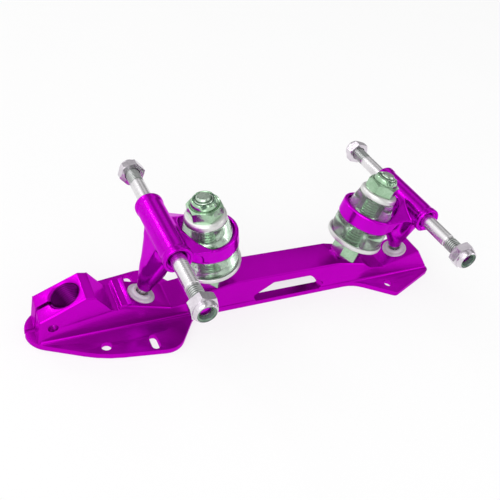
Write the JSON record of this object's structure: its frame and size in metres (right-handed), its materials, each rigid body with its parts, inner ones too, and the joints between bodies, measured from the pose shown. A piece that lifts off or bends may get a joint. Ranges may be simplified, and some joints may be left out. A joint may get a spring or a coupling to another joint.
{
  "type": "roller skate plate",
  "caption": "Quad roller skate plate with sprung, steering front and rear trucks, bare axles, a split toe stop clamp and holes for bolting to a boot sole.",
  "frame": {"origin": "on the flat face that bolts to the boot, on the middle line, midway between the two axles", "axes": "+X towards the heel, +Y across, +Z away from the boot sole towards the trucks"},
  "size_m": [0.2589, 0.121, 0.0774],
  "materials": {
    "plate": "glossy magenta anodised",
    "hanger": "glossy magenta anodised",
    "steel": "bright ground",
    "nut": "bright plated",
    "kingpin_nut": "bright plated, greenish",
    "screw": "bright plated, greenish",
    "washer": "pale polished",
    "cushion": "clear grey-green urethane",
    "cup": "smooth pale nylon",
    "insert": "smooth grey-green nylon"
  },
  "bodies": {
    "plate_body": {"plate": "plate", "toe_pinch_screw": "screw", "front_pivot_cup": "cup", "front_kingpin": "screw", "front_kingpin_base_nut": "kingpin_nut", "front_lower_washer": "washer", "front_lower_cushion": "cushion", "front_upper_cushion": "cushion", "front_upper_washer": "washer", "front_kingpin_lock_nut": "kingpin_nut", "front_lock_nut_insert": "insert", "rear_pivot_cup": "cup", "rear_kingpin": "screw", "rear_kingpin_base_nut": "kingpin_nut", "rear_lower_washer": "washer", "rear_lower_cushion": "cushion", "rear_upper_cushion": "cushion", "rear_upper_washer": "washer", "rear_kingpin_lock_nut": "kingpin_nut", "rear_lock_nut_insert": "insert"},
    "front_truck": {"front_hanger": "hanger", "front_pivot_pin": "steel", "front_axle": "steel", "front_axle_nuts": "nut", "front_axle_nut_inserts": "insert"},
    "rear_truck": {"rear_hanger": "hanger", "rear_pivot_pin": "steel", "rear_axle": "steel", "rear_axle_nuts": "nut", "rear_axle_nut_inserts": "insert"}
  },
  "joints": [
    {"name": "front_steer", "type": "hinge", "parent": "plate_body", "child": "front_truck", "pos_m": [-0.0876, 0, 0.0127], "axis": [0.6947, 0, 0.7193], "range_deg": [-10, 10], "stiffness_Nm_per_rad": 40, "deforming": ["front_lower_cushion", "front_upper_cushion"]},
    {"name": "rear_steer", "type": "hinge", "parent": "plate_body", "child": "rear_truck", "pos_m": [0.0876, 0, 0.0127], "axis": [-0.6947, 0, 0.7193], "range_deg": [-10, 10], "stiffness_Nm_per_rad": 40, "deforming": ["rear_lower_cushion", "rear_upper_cushion"]}
  ]
}
